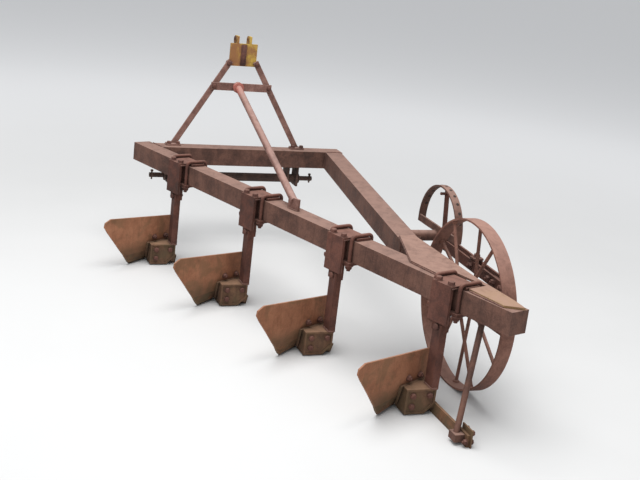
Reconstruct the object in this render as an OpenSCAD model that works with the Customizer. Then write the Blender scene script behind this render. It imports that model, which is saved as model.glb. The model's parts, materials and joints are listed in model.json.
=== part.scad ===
// Four-furrow mounted moldboard plough, left-turning, with one steel land wheel.
// Millimetres. +X is the travel direction, +Y is left, +Z is up, the soles rest on z = 0.

/* [Frame] */
// height of the beam tops above the ground
frame_top = 570; // [500:1:650]
// width of the square beams
beam_w = 100; // [70:1:120]
// height of the square beams
beam_h = 100; // [70:1:120]
// wall of the main beam
main_wall = 10; // [6:1:14]
// wall of the other beams
frame_wall = 5; // [4:1:10]
// angle of the main beam to the travel direction, degrees
beam_angle = 18.5; // [10:0.5:30]
// reach of the main beam ahead of the first body
beam_front = 505; // [300:5:700]
// reach of the main beam behind the last body
tail_over = 350; // [150:5:600]
// centre of the front crossbeam ahead of the first body
cross_x = 410; // [300:5:500]
// right end of the front crossbeam
cross_right = 1045; // [900:5:1200]
// set of the side beam's front corner from the crossbeam's end
corner_set = 8; // [0:1:20]
// where the side beam meets the rear bar, ahead of the last body
knee_ahead = 573; // [380:1:760]
// centre line of the rear bar, to the right of the last body's beam point
rear_bar_side = 48; // [20:1:150]
// thickness of the tail plate
tail_plate_t = 10; // [6:1:16]

/* [Plough bodies] */
// distance between bodies along the main beam
body_pitch = 690; // [600:5:800]
// thickness of a leg across the travel direction
leg_t = 32; // [25:1:45]
// length of a leg section along the travel direction
leg_l = 70; // [50:1:100]
// height where the leg stands on its frog
leg_foot = 118; // [90:1:150]
// set of a leg's centre from the furrow wall
leg_set = 22.5; // [20:0.5:28]
// share point ahead of the leg centre
point_x = 240; // [225:1:340]
// thickness of a landside
landside_t = 12; // [8:1:16]
// height of a landside
landside_h = 52; // [44:1:100]
// thickness of a frog's plates
frog_t = 12; // [8:1:16]
// width of a frog's box
frog_w = 138; // [100:1:150]
// cut corner of a frog's box beside the landside
frog_corner = 45; // [20:1:60]
// thickness of the heel plate
heel_t = 6; // [4:1:10]

/* [Leg clamps] */
// length of a saddle plate along the beam
saddle_l = 112; // [100:1:120]
// thickness of a saddle plate
saddle_t = 14; // [8:1:20]
// reach of the saddle plate below the beam
saddle_down = 60; // [40:1:80]
// thickness of the cap on the beam
cap_t = 12; // [8:1:16]
// thickness of the base plate under the beam
base_t = 14; // [10:1:20]
// distance between the two U-bolts of a clamp
ubolt_pitch = 146; // [144:1:160]
// diameter of a U-bolt
ubolt_d = 18; // [14:1:20]
// inner bend radius of a U-bolt
ubolt_r = 10; // [8:1:14]

/* [Headstock] */
// centre line of the hitch, to the right of the first body
hitch_y = -390; // [-500:5:-300]
// distance between the shoulders of the lower hitch pins
hitch_span = 825; // [683:1:965]
// diameter of the hitch shaft
hitch_shaft_d = 50; // [40:1:56]
// lower hitch pin diameter
lower_pin_d = 28; // [22:1:37]
// length of a lower hitch pin
lower_pin_l = 90; // [60:1:120]
// height of the hitch shaft
hitch_z = 385; // [300:5:450]
// thickness of a hitch bracket's plates
hitch_plate_t = 12; // [8:1:16]
// clear width of a hitch bracket
hitch_gap = 46; // [30:1:60]
// mast half spread at the foot
mast_foot = 380; // [250:5:450]
// mast half spread at the top
mast_top = 75; // [50:5:150]
// height of the mast legs
mast_z = 1075; // [900:5:1200]
// width of a mast leg
mast_w = 32; // [25:1:50]
// thickness of the mast bars
mast_t = 12; // [8:1:16]
// height of the mast crossbar
mast_bar_z = 925; // [850:5:940]
// diameter of the mast stay
stay_d = 38; // [25:1:45]
// foot of the stay behind the first body, along the main beam
stay_back = 940; // [880:5:1000]
// width of the top link bracket
bracket_w = 162; // [150:1:200]
// clear width between the top link ears
ear_gap = 64; // [54:1:72]
// top link bore diameter
top_pin_d = 26; // [19:1:32]
// height of the top link bore above the mast legs
top_pin_up = 115; // [100:1:130]

/* [Land wheel] */
// wheel outside diameter
wheel_d = 766; // [600:2:800]
// rim width
rim_w = 66; // [40:1:100]
// rim thickness
rim_t = 8; // [5:1:12]
// number of spokes
spokes = 12; // [8:2:16]
// spoke diameter
spoke_d = 16; // [10:1:24]
// hub diameter
hub_d = 88; // [60:1:120]
// hub length
hub_l = 100; // [80:1:110]
// diameter of the stub axle
axle_d = 36; // [25:1:45]
// wheel centre ahead of the last body
wheel_ahead = 238; // [180:1:300]
// wheel plane to the right of the rear bar's centre line
wheel_side = 143; // [120:1:180]
// pivot of the wheel arm ahead of the wheel centre
arm_reach = 505; // [480:1:540]
// pivot height
pivot_z = 545; // [500:1:600]
// outside diameter of the pivot tube
tube_d = 52; // [44:1:60]
// diameter of the arm's shaft
shaft_d = 34; // [24:1:38]
// radius of the depth quadrant
quad_r = 200; // [150:1:260]
// set of the depth quadrant beyond the wheel's rim
quad_set = 31; // [10:1:45]
// width of the depth quadrant's band
quad_w = 38; // [25:1:50]
// thickness of the depth quadrant's band
quad_t = 8; // [5:1:12]
// height of an arm bar
bar_h = 50; // [36:1:60]
// thickness of an arm bar
bar_t = 10; // [6:1:14]
// clear width between the arm bars
bar_gap = 30; // [24:1:50]

/* [Hidden] */
$fn = 48;
// clearance of what fits in, on or beside another piece
gap = 0.3;
// clearance of what swings past another piece
swing_gap = 6;
cb = cos(beam_angle);
sb = sin(beam_angle);

// rows of a body's working face, from the cutting edge to the top
// columns: height at the shin, lean back, angle to travel, row length, height at the wing, thickness
share_rows = [
    [   0,     0, 46.7, 361,  0,  3],
    [  20,  31.3, 51.5, 354, 15, 16],
    [  45,  64.8, 56.2, 349, 34, 13],
    [79.7,    98, 60.2, 352, 59.7, 11]
];
mold_rows = [
    [ 80,  98.0, 60.2, 352,  60, 11],
    [106, 110.0, 60.6, 385, 100, 10],
    [132, 118.0, 61.1, 415, 140,  9],
    [158, 123.5, 61.6, 446, 180,  8],
    [185, 127.0, 62.2, 472, 215,  8],
    [212, 128.5, 62.6, 489, 243,  8],
    [236, 128.8, 62.6, 485, 266,  8],
    [254, 127.0, 62.3, 450, 284,  8]
];

// columns: landside rear end, heel
bodies = [
    [5, 0],
    [5, 0],
    [5, 0],
    [-340, 1]
];
// slope of a short landside's rear end, and overhang, length and rise of the heel plate
landside_slope = 28;
heel_over = 10;
heel_l = 84;
heel_rise = 24;
// height of a frog's lower edge above the soles
sole_gap = 6;
// clearance between a frog and the twisted back of its share
twist_gap = 2.4;

// the last body along the main beam, and its beam point
last_d = (len(bodies) - 1) * body_pitch;
last_x = -last_d * cb;
last_y = -last_d * sb;

// main beam, knee and rear bar
beam_rear = last_d + tail_over;
beam_z = frame_top - beam_h;
knee_x = last_x + knee_ahead;
knee_y = last_y - rear_bar_side;
cross_rear = cross_x - beam_w / 2;
side_front_y = -cross_right + corner_set + beam_w / 2;
side_slope = (knee_y - side_front_y) / (cross_rear - knee_x);
side_half = beam_w / 2 * sqrt(1 + side_slope * side_slope);
drain_d = 12;

// legs and clamps
leg_off = beam_w / 2 + leg_t / 2;
land_off = leg_off * cb - leg_set;
saddle_y = beam_w / 2 + leg_t;
ubolt_y = beam_w / 2 + gap + ubolt_d / 2;
ubolt_nut_w = 1.8 * ubolt_d;
ubolt_nut_h = 0.85 * ubolt_d;
cap_l = ubolt_pitch + ubolt_d + 14;
base_w = 2 * ubolt_y + ubolt_nut_w;
rear_bar_end = last_x + ubolt_pitch / 2 * cb + ubolt_y * sb + ubolt_d / 2 + swing_gap;

// headstock
pin_x = cross_x + 30;
top_pin_x = 50;
ear_r = 26.3;
ear_x = top_pin_x + ear_r;
top_pin_z = mast_z + top_pin_up;
bracket_drop = 30;
bracket_h = 130;
bar_x = pin_x - 1.5 * mast_t - gap;
stay_rise = 40;
stay_lug_l = 80;
stay_head_d = 62;
stay_head_t = 30;
stay_head_y = hitch_y + 25;

// land wheel, its arm and the quadrant, from the frame outwards
wheel_x = last_x + wheel_ahead;
wheel_y = knee_y - wheel_side;
wheel_z = wheel_d / 2;
pivot_x = wheel_x + arm_reach;
side_face = side_front_y + side_slope * (cross_rear - pivot_x) - side_half;
quad_y = wheel_y - rim_w / 2 - quad_set;
quad_leg = 45;
quad_low = tube_d / 2 - 8;
quad_bar = 34;
bar_y1 = quad_y - quad_w - swing_gap;
bar_y2 = bar_y1 - bar_t - bar_gap;
arm_out = bar_y2 - bar_t;
boss_d = 80;
nut_t = 16;
bar_drop = 40;
bar_fall = 15;
bar_over = 118;
shaft_in = side_face - 22;
lever_w = 34;
lever_lean = 32;

// reaches of the whole plough, and the shifts that centre its box on the origin
front_reach = pin_x + ear_x;
rear_reach = last_x - leg_off * sb + bodies[3][0] - heel_over;
left_reach = land_off + max([for (r = mold_rows) r[3] * sin(r[2])]);
right_reach = max(cross_right, nut_t - arm_out);
shift_x = -(front_reach + rear_reach) / 2;
shift_y = -(left_reach - right_reach) / 2;

// whole plough shift
module place() {
    translate([shift_x, shift_y, 0]) children();
}

// frame of the main beam: x runs forward along the beam, y to its left
module on_beam(d) {
    translate([-d * cb, -d * sb, 0]) rotate([0, 0, beam_angle]) children();
}

// plan point at distance d along the main beam and v to the left of its centre line
function beam_pt(d, v) = [-d * cb - v * sb, -d * sb + v * cb];

// frame of one body: y = 0 is the furrow wall side, x = 0 the leg centre
module on_body(i) {
    bx = -i * body_pitch * cb - leg_off * sb;
    by = -i * body_pitch * sb + land_off;
    translate([bx, by, 0]) children();
}

// a round bar between two points
module bar(a, b, d) {
    v = b - a;
    len = norm(v);
    translate(a) rotate([0, acos(v[2] / len), atan2(v[1], v[0])]) rotate([0, 0, 75]) cylinder(d = d, h = len);
}

// a flat bar between two points, w wide in the plane of its run, t thick
module flat(a, b, w, t) {
    v = b - a;
    len = norm(v);
    translate(a) rotate([0, acos(v[2] / len), atan2(v[1], v[0])])
        translate([-w / 2, -t / 2, 0]) cube([w, t, len]);
}

// a round solid or hole that runs to the right from a point
module across(x, y, z, d, len) {
    translate([x, y, z]) rotate([90, 0, 0]) cylinder(d = d, h = len);
}

// one point of a working face; off is the distance behind the front face
function face_pt(r, u, off) =
    let (st = sin(r[2]), ct = cos(r[2]))
    let (x0 = point_x - r[1] / st - off * st, y0 = -off * ct)
    let (u0 = off * ct / st)
    [x0 - u0 * ct - (u * (r[3] - u0)) * ct,
     y0 + u0 * st + (u * (r[3] - u0)) * st,
     r[0] + u * (r[4] - r[0])];

// how far forward a piece at y may reach, s behind the plate of this row
function behind(r, y, s) = point_x - (r[1] + r[5] + s) / sin(r[2]) - y / tan(r[2]);

// the same reach, with the height that the row has there
function back_pt(r, y, s) = [behind(r, y, s), r[0] + (r[4] - r[0]) * y / (r[3] * sin(r[2]))];

// a row cut off at width y, with its back set rearwards by s
function cut_row(r, y, s) =
    [r[0], r[1], r[2], y / sin(r[2]), r[0] + (r[4] - r[0]) * y / (r[3] * sin(r[2])), r[5] + s];

// a plate lofted through rows, from u0 to u1, between two depths behind the face
module ruled(rows, u0, u1, n, back0, back1) {
    m = len(rows);
    front = [for (j = [0 : m - 1]) for (k = [0 : n])
        face_pt(rows[j], u0 + (u1 - u0) * k / n, back0 < 0 ? 0 : rows[j][5] + back0)];
    rear = [for (j = [0 : m - 1]) for (k = [0 : n])
        face_pt(rows[j], u0 + (u1 - u0) * k / n, back1 < 0 ? rows[j][5] : rows[j][5] + back1)];
    q = m * (n + 1);
    s = n + 1;
    faces = concat(
        [for (j = [0 : m - 2]) for (k = [0 : n - 1]) each
            [[j * s + k, j * s + k + 1, (j + 1) * s + k + 1],
             [j * s + k, (j + 1) * s + k + 1, (j + 1) * s + k]]],
        [for (j = [0 : m - 2]) for (k = [0 : n - 1]) each
            [[q + j * s + k, q + (j + 1) * s + k + 1, q + j * s + k + 1],
             [q + j * s + k, q + (j + 1) * s + k, q + (j + 1) * s + k + 1]]],
        [for (k = [0 : n - 1]) each
            [[k, q + k, q + k + 1], [k, q + k + 1, k + 1]]],
        [for (k = [0 : n - 1]) each
            [[(m - 1) * s + k, q + (m - 1) * s + k + 1, q + (m - 1) * s + k],
             [(m - 1) * s + k, (m - 1) * s + k + 1, q + (m - 1) * s + k + 1]]],
        [for (j = [0 : m - 2]) each
            [[j * s, (j + 1) * s, q + (j + 1) * s], [j * s, q + (j + 1) * s, q + j * s]]],
        [for (j = [0 : m - 2]) each
            [[j * s + n, q + (j + 1) * s + n, (j + 1) * s + n],
             [j * s + n, q + j * s + n, q + (j + 1) * s + n]]]);
    polyhedron(points = concat(front, rear), faces = [for (f = faces) [f[0], f[2], f[1]]], convexity = 6);
}

module main_beam() {
    color("#7d4a3c") place() on_beam(0) difference() {
        translate([-beam_rear, -beam_w / 2, beam_z])
            cube([beam_rear + beam_front, beam_w, beam_h]);
        translate([-beam_rear + main_wall, -beam_w / 2 + main_wall, beam_z + main_wall])
            cube([beam_rear + beam_front - 2 * main_wall, beam_w - 2 * main_wall, beam_h - 2 * main_wall]);
        for (x = [3 * main_wall - beam_rear, beam_front - 3 * main_wall])
            translate([x, 0, beam_z - 1]) cylinder(d = drain_d, h = main_wall + 2);
    }
}

// cutter that clears everything left of the main beam's right face
module beam_cut() {
    on_beam(0) translate([-beam_rear - beam_w, -beam_w / 2, beam_z - beam_w])
        cube([beam_rear + beam_front + 2 * beam_w, 10 * beam_w, beam_h + 2 * beam_w]);
}

module front_crossbeam() {
    w = frame_wall;
    color("#7d4a3c") place() difference() {
        translate([cross_rear, -cross_right, beam_z]) cube([beam_w, cross_right + 3 * beam_w, beam_h]);
        translate([cross_rear + w, -cross_right + w, beam_z + w])
            cube([beam_w - 2 * w, cross_right + 3 * beam_w, beam_h - 2 * w]);
        beam_cut();
    }
}

// plan of the side beam, with its long sides moved inwards by w
module side_plan(w) {
    h = side_half - w * side_half / (beam_w / 2);
    polygon([[cross_rear, side_front_y - h], [cross_rear, side_front_y + h],
        [knee_x, knee_y + h], [knee_x, knee_y - h]]);
}

module side_beam() {
    color("#7d4a3c") place() translate([0, 0, beam_z]) difference() {
        linear_extrude(beam_h) side_plan(0);
        translate([0, 0, frame_wall]) linear_extrude(beam_h - 2 * frame_wall) side_plan(frame_wall);
    }
}

module rear_bar() {
    w = frame_wall;
    l = knee_x - rear_bar_end;
    color("#7d4a3c") place() difference() {
        translate([rear_bar_end, knee_y - beam_w / 2, beam_z]) cube([l, beam_w, beam_h]);
        translate([rear_bar_end + w, knee_y - beam_w / 2 + w, beam_z + w])
            cube([l, beam_w - 2 * w, beam_h - 2 * w]);
        beam_cut();
    }
}

module tail_plate() {
    cut_l = cap_l + 4;
    cut_y = ubolt_y + ubolt_d / 2 + 4;
    color("#a08050") place() difference() {
        translate([0, 0, frame_top]) linear_extrude(tail_plate_t)
            polygon([[knee_x + 60, knee_y - 0.42 * beam_w], [knee_x + 60, knee_y + 0.34 * beam_w],
                beam_pt(last_d - 280, 8), beam_pt(beam_rear - 56, 0.4 * beam_w),
                beam_pt(beam_rear + 2, -0.25 * beam_w), beam_pt(beam_rear - 83, -beam_w / 2 - 3),
                beam_pt(last_d, -beam_w / 2 - 62)]);
        on_beam(last_d) translate([-cut_l / 2, -cut_y, frame_top - 1])
            cube([cut_l, cut_y + beam_w, tail_plate_t + 2]);
    }
}

module mast_leg(side) {
    color("#8c5546") place() translate([pin_x, hitch_y, 0]) difference() {
        union() {
            flat([0, side * (mast_foot + 12), frame_top - 20], [0, side * mast_top, mast_z], mast_w, mast_t);
            translate([-35, side * mast_foot - 40, frame_top]) cube([50, 80, 10]);
        }
        translate([-beam_w, side * mast_foot - beam_w, beam_z])
            cube([2 * beam_w, 2 * beam_w, beam_h]);
    }
}

module mast_leg_left() { mast_leg(1); }
module mast_leg_right() { mast_leg(-1); }

module mast_crossbar() {
    k = (mast_bar_z - frame_top) / (mast_z - frame_top);
    y = mast_foot + (mast_top - mast_foot) * k + mast_w / 2;
    color("#8c5546") place() translate([bar_x, hitch_y - y, mast_bar_z - 22]) cube([mast_t, 2 * y, 44]);
}

module top_link_bracket() {
    x0 = mast_t / 2 + gap;
    ear_z = mast_z - bracket_drop;
    color("#9a7a2c") place() translate([pin_x, hitch_y, 0]) difference() {
        union() {
            translate([x0, -bracket_w / 2, ear_z]) cube([mast_t, bracket_w, bracket_h]);
            for (s = [-1, 1]) translate([0, s * (ear_gap + mast_t) / 2 + mast_t / 2, 0]) {
                translate([x0, -mast_t, ear_z]) cube([ear_x - x0, mast_t, top_pin_z - ear_z]);
                translate([x0, -mast_t, top_pin_z]) cube([top_pin_x - x0, mast_t, ear_r]);
                across(top_pin_x, 0, top_pin_z, 2 * ear_r, mast_t);
            }
        }
        across(top_pin_x, bracket_w, top_pin_z, top_pin_d, 2 * bracket_w);
    }
}

module mast_stay() {
    foot = beam_pt(stay_back, 0);
    head = [bar_x, stay_head_y, mast_bar_z];
    color("#a8766a") place() union() {
        bar(head - [stay_head_t / 2, 0, 0], [foot[0], foot[1], frame_top + stay_rise], stay_d);
        translate(head - [stay_head_t, 0, 0]) rotate([0, 90, 0]) cylinder(d = stay_head_d, h = stay_head_t);
        on_beam(stay_back) translate([-stay_lug_l / 2, -mast_t / 2, frame_top])
            cube([stay_lug_l, mast_t, stay_rise + stay_d / 2]);
    }
}

module hitch_shaft() {
    color("#5a3a30") place() union() {
        across(pin_x, hitch_y + hitch_span / 2, hitch_z, hitch_shaft_d, hitch_span);
        across(pin_x, hitch_y + hitch_span / 2 + lower_pin_l, hitch_z, lower_pin_d,
            hitch_span + 2 * lower_pin_l);
    }
}

// a bracket of two plates under the crossbeam; s = 1 on the left
module hitch_bracket(s) {
    t = hitch_plate_t;
    w = hitch_gap + 2 * t;
    z0 = hitch_z - 40;
    y = hitch_y + s * (hitch_span / 2 - t - w / 2);
    color("#5a3a30") place() difference() {
        translate([pin_x - 45, y - w / 2, z0]) cube([90, w, beam_z - z0]);
        translate([pin_x - 46, y - hitch_gap / 2, z0 - 1]) cube([92, hitch_gap, beam_z - t - z0 + 1]);
        across(pin_x, y + w, hitch_z, hitch_shaft_d + 2 * gap, 2 * w);
    }
}

module hitch_bracket_left() { hitch_bracket(1); }
module hitch_bracket_right() { hitch_bracket(-1); }

// saddle plate beside the leg, with a cap on the beam and a base plate under it
module clamp(i) {
    slot = leg_l / 2 + gap;
    out = saddle_y + saddle_t;
    color("#6b4034") place() on_beam(i * body_pitch) difference() {
        union() {
            translate([-saddle_l / 2, saddle_y, beam_z - saddle_down])
                cube([saddle_l, saddle_t, beam_h + saddle_down + cap_t]);
            translate([-saddle_l / 2, 0, frame_top]) cube([saddle_l, out, cap_t]);
            translate([-cap_l / 2, ubolt_r - beam_w / 2, frame_top])
                cube([cap_l, beam_w - 2 * ubolt_r, cap_t]);
            translate([-cap_l / 2, -base_w / 2, beam_z - base_t]) cube([cap_l, base_w, base_t]);
            translate([-saddle_l / 2, 0, beam_z - base_t]) cube([saddle_l, out, base_t]);
        }
        translate([-slot, beam_w / 2, beam_z - base_t - 1]) cube([2 * slot, leg_t, base_t + 2]);
        for (x = [-1, 1]) for (y = [-1, 1])
            translate([x * ubolt_pitch / 2, y * ubolt_y, beam_z - base_t - 1])
                cylinder(d = ubolt_d + 2 * gap, h = base_t + 2);
    }
}

// one U-bolt over the beam, with a nut at each end
module u_bolt() {
    r = ubolt_r + ubolt_d / 2;
    low = beam_z - base_t - ubolt_nut_h - 12;
    top = frame_top + cap_t + gap + ubolt_d / 2;
    for (s = [-1, 1]) {
        translate([0, s * ubolt_y, low]) cylinder(d = ubolt_d, h = top - r - low);
        translate([0, s * (ubolt_y - r), top - r]) rotate([90, 0, s > 0 ? 90 : -90])
            rotate_extrude(angle = 90) translate([r, 0]) circle(d = ubolt_d);
        translate([0, s * ubolt_y, beam_z - base_t - ubolt_nut_h])
            cylinder(d = ubolt_nut_w, h = ubolt_nut_h, $fn = 6);
    }
    translate([0, ubolt_y - r, top]) rotate([90, 0, 0]) cylinder(d = ubolt_d, h = 2 * (ubolt_y - r));
}

module u_bolts(i) {
    color("#6b4034") place() on_beam(i * body_pitch)
        for (x = [-1, 1]) translate([x * ubolt_pitch / 2, 0, 0]) u_bolt();
}

// the top of a leg lies along the main beam, its foot along the travel
module leg(i) {
    top_z = beam_z - saddle_down - 40;
    color("#6b4034") place() union() {
        on_beam(i * body_pitch) translate([-leg_l / 2, beam_w / 2, top_z])
            cube([leg_l, leg_t, frame_top - top_z]);
        on_body(i) translate([-leg_l / 2, leg_set - leg_t / 2, leg_foot])
            cube([leg_l, leg_t, top_z + 34 - leg_foot]);
    }
}

// outline of a frog's wall at y: from its rear edge points round to the plate, s behind it
function frog_wall(rows, rear, y, s) = concat(rear,
    [[behind(rows[0], y, s), sole_gap], [behind(rows[0], y, s), rows[0][4]]],
    [for (k = [1 : 3]) back_pt(rows[k], y, s)], [[behind(rows[4], y, s), leg_foot]]);

// box casting beside the leg: flange on the plates, two side walls, rear wall and top
module frog(i) {
    rows = [share_rows[1], share_rows[2], mold_rows[0], mold_rows[1], (mold_rows[1] + mold_rows[2]) / 2];
    y0 = landside_t + gap;
    y1 = y0 + 1.5 * frog_t;
    y2 = y0 + frog_w;
    x0 = -leg_l / 2;
    c = frog_corner;
    edge = 9;
    corner = [for (a = [0 : 15 : 90]) [x0 + c - c * cos(a), sole_gap + c - c * sin(a)]];
    color("#5c3a2c") place() on_body(i) difference() {
        union() {
            ruled([for (k = [0 : 4]) cut_row(rows[k], y2 + 22, k < 2 ? twist_gap : 0)], 0.13, 1, 3, 0.4, frog_t);
            translate([0, y1, 0]) rotate([90, 0, 0]) linear_extrude(y1 - y0)
                polygon(frog_wall(rows, concat([[x0, leg_foot]], corner), y1, 2 * twist_gap));
            translate([0, y2, 0]) rotate([90, 0, 0]) linear_extrude(frog_t)
                polygon(frog_wall(rows, [[x0, leg_foot], [x0, sole_gap]], y2, 2 * twist_gap));
            translate([x0, 0, 0]) rotate([90, 0, 90]) linear_extrude(frog_t)
                polygon([[y0 + c, sole_gap], [y2, sole_gap], [y2, leg_foot], [y0, leg_foot],
                    [y0, sole_gap + c]]);
            translate([x0, 0, 0]) rotate([90, 0, 90]) linear_extrude(c)
                polygon([[y0 + c, sole_gap], [y0 + c + frog_t, sole_gap],
                    [y0, sole_gap + c + frog_t], [y0, sole_gap + c]]);
            translate([0, 0, leg_foot - frog_t]) linear_extrude(frog_t)
                polygon([[x0, y0], [behind(mold_rows[1], y0, 6), y0],
                    [behind(mold_rows[1], y2, 6), y2], [x0, y2]]);
        }
        translate([x0 - 1, 0, 0]) rotate([90, 0, 90]) linear_extrude(frog_t / 3 + 1)
            polygon([[y0 + c + edge / 2, sole_gap + edge], [y2 - edge, sole_gap + edge],
                [y2 - edge, leg_foot - edge], [y0 + edge, leg_foot - edge],
                [y0 + edge, sole_gap + c + edge / 2]]);
    }
}

module share(i) {
    color("#7a4a2c") place() on_body(i) ruled(share_rows, 0, 1, 4, -1, -1);
}

module moldboard(i) {
    color("#96602f") place() on_body(i) ruled(mold_rows, 0, 1, 10, -1, -1);
}

// a short sole on the first bodies, a long one with a heel plate on the last
module landside(i) {
    x0 = bodies[i][0];
    long = bodies[i][1] == 1;
    color("#6b4034") place() on_body(i) union() {
        translate([0, landside_t, 0]) rotate([90, 0, 0]) linear_extrude(landside_t)
            polygon([[x0, 0], [behind(share_rows[1], landside_t, 1), 0],
                [behind(share_rows[1], landside_t, 1), share_rows[1][0]],
                [behind(share_rows[2], landside_t, 1), share_rows[2][0]],
                [behind(share_rows[3], landside_t, 1), landside_h],
                [long ? x0 : x0 - landside_slope, landside_h]]);
        if (long) translate([x0 - heel_over, -heel_t, 0]) cube([heel_l, heel_t, landside_h + heel_rise]);
    }
}

module clamp_1() { clamp(0); }
module clamp_2() { clamp(1); }
module clamp_3() { clamp(2); }
module clamp_4() { clamp(3); }
module u_bolts_1() { u_bolts(0); }
module u_bolts_2() { u_bolts(1); }
module u_bolts_3() { u_bolts(2); }
module u_bolts_4() { u_bolts(3); }
module leg_1() { leg(0); }
module leg_2() { leg(1); }
module leg_3() { leg(2); }
module leg_4() { leg(3); }
module frog_1() { frog(0); }
module frog_2() { frog(1); }
module frog_3() { frog(2); }
module frog_4() { frog(3); }
module share_1() { share(0); }
module share_2() { share(1); }
module share_3() { share(2); }
module share_4() { share(3); }
module moldboard_1() { moldboard(0); }
module moldboard_2() { moldboard(1); }
module moldboard_3() { moldboard(2); }
module moldboard_4() { moldboard(3); }
module landside_1() { landside(0); }
module landside_2() { landside(1); }
module landside_3() { landside(2); }
module landside_4() { landside(3); }

module heel_brace() {
    foot_in = 1.5 * frog_t;
    p = [last_x - leg_off * sb - 290, last_y + land_off + landside_t + foot_in + 8, 32];
    top = beam_pt(last_d + 165, 0);
    q = [top[0], top[1], beam_z - 12];
    color("#7d4a3c") place() union() {
        bar(p, q, 26);
        translate(p - [28, foot_in + 8, 18]) cube([56, foot_in + 26, 32]);
        translate(q + [-30, -30, 0]) cube([60, 60, 12]);
    }
}

module pivot_tube() {
    end = quad_y - quad_w;
    color("#7d4a3c") place() difference() {
        union() {
            across(pivot_x, side_face + 25, pivot_z, tube_d, side_face + 25 - end);
            translate([pivot_x - 32, side_face - 40, beam_z + 12]) cube([64, 60, pivot_z - beam_z - 12]);
        }
        across(pivot_x, side_face + 40, pivot_z, shaft_d + 2 * gap, side_face + 50 - end);
        translate([0, 0, beam_z - 1]) linear_extrude(beam_h + 2) side_plan(-gap);
    }
}

// cross strip seated on the tube, and the arch that the depth setting is read on
module depth_quadrant() {
    w = 2 * quad_r;
    color("#7d4a3c") place() translate([pivot_x, quad_y, pivot_z]) rotate([90, 0, 0]) difference() {
        union() {
            translate([1 - quad_r, quad_low, 0]) cube([w - 2, quad_bar, bar_t]);
            linear_extrude(quad_w) difference() {
                union() {
                    intersection() {
                        translate([0, quad_leg]) circle(r = quad_r, $fn = 96);
                        translate([-quad_r, quad_leg]) square([w, quad_r]);
                    }
                    translate([-quad_r, quad_low]) square([w, quad_leg - quad_low]);
                }
                translate([0, quad_leg]) circle(r = quad_r - quad_t, $fn = 96);
                translate([quad_t - quad_r, 0]) square([w - 2 * quad_t, quad_leg]);
            }
        }
        translate([0, 0, -1]) cylinder(d = tube_d + 2 * gap, h = bar_t + 2);
    }
}

// two bars on a boss, a hanger for the stub axle and the depth lever
module wheel_arm() {
    rear = wheel_x - bar_over;
    lap = bar_t / 4;
    color("#7d4a3c") place() difference() {
        union() {
            across(pivot_x, shaft_in, pivot_z, shaft_d, shaft_in - arm_out);
            across(pivot_x, bar_y1 + 1, pivot_z, boss_d, bar_y1 - arm_out + 2);
            for (y = [bar_y1, bar_y2])
                flat([pivot_x + 20, y - bar_t / 2, pivot_z - bar_drop],
                    [rear, y - bar_t / 2, pivot_z - bar_drop - bar_fall], bar_h, bar_t);
            translate([wheel_x - 35, bar_y2 - lap, wheel_z - 42])
                cube([70, bar_gap + 2 * lap, pivot_z - bar_drop - wheel_z + 42]);
            translate([rear + 12, bar_y2 - lap, pivot_z - bar_drop - bar_fall - bar_h / 4])
                cube([40, bar_gap + 2 * lap, bar_h / 2]);
            flat([pivot_x, bar_y1 - bar_t / 2, pivot_z],
                [pivot_x + lever_lean, bar_y1 - bar_t / 2, pivot_z + quad_leg + quad_r - 22], lever_w, bar_t - 2);
            translate([pivot_x, arm_out, pivot_z]) rotate([90, 0, 0]) cylinder(d = 56, h = nut_t, $fn = 6);
        }
        across(wheel_x, bar_y1 + 10, wheel_z, axle_d + 2 * gap, bar_gap + 2 * bar_t + 20);
    }
}

module wheel_axle() {
    inner = wheel_y + hub_l / 2 + 12;
    color("#6b4034") place() across(wheel_x, inner, wheel_z, axle_d, inner - arm_out);
}

module wheel_rim() {
    color("#8c5038") place() difference() {
        across(wheel_x, wheel_y + rim_w / 2, wheel_z, wheel_d, rim_w, $fn = 96);
        across(wheel_x, wheel_y + rim_w, wheel_z, wheel_d - 2 * rim_t, 2 * rim_w, $fn = 96);
    }
}

// spokes lean in turn to the two ends of the hub
module wheel_spokes() {
    c = [wheel_x, wheel_y, wheel_z];
    ri = wheel_d / 2 - rim_t;
    lean = hub_l / 2 - spoke_d - 2;
    color("#7d4a3c") place() difference() {
        intersection() {
            for (k = [0 : spokes - 1]) {
                a = k * 360 / spokes;
                s = k % 2 == 0 ? 1 : -1;
                bar(c + [hub_d / 3 * cos(a), s * lean, hub_d / 3 * sin(a)],
                    c + [ri * cos(a), s * rim_w / 5, ri * sin(a)], spoke_d);
            }
            across(wheel_x, wheel_y + hub_l, wheel_z, 2 * (ri - gap), 2 * hub_l);
        }
        across(wheel_x, wheel_y + hub_l, wheel_z, hub_d + 2 * gap, 2 * hub_l);
    }
}

module wheel_hub() {
    color("#6b4034") place() difference() {
        across(wheel_x, wheel_y + hub_l / 2, wheel_z, hub_d, hub_l);
        across(wheel_x, wheel_y + hub_l, wheel_z, axle_d + 2 * gap, 2 * hub_l);
    }
}

main_beam();
front_crossbeam();
side_beam();
rear_bar();
tail_plate();
mast_leg_left();
mast_leg_right();
mast_crossbar();
top_link_bracket();
mast_stay();
hitch_shaft();
hitch_bracket_left();
hitch_bracket_right();
clamp_1();
u_bolts_1();
leg_1();
frog_1();
share_1();
moldboard_1();
landside_1();
clamp_2();
u_bolts_2();
leg_2();
frog_2();
share_2();
moldboard_2();
landside_2();
clamp_3();
u_bolts_3();
leg_3();
frog_3();
share_3();
moldboard_3();
landside_3();
clamp_4();
u_bolts_4();
leg_4();
frog_4();
share_4();
moldboard_4();
landside_4();
heel_brace();
pivot_tube();
depth_quadrant();
wheel_arm();
wheel_axle();
wheel_rim();
wheel_spokes();
wheel_hub();
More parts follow.
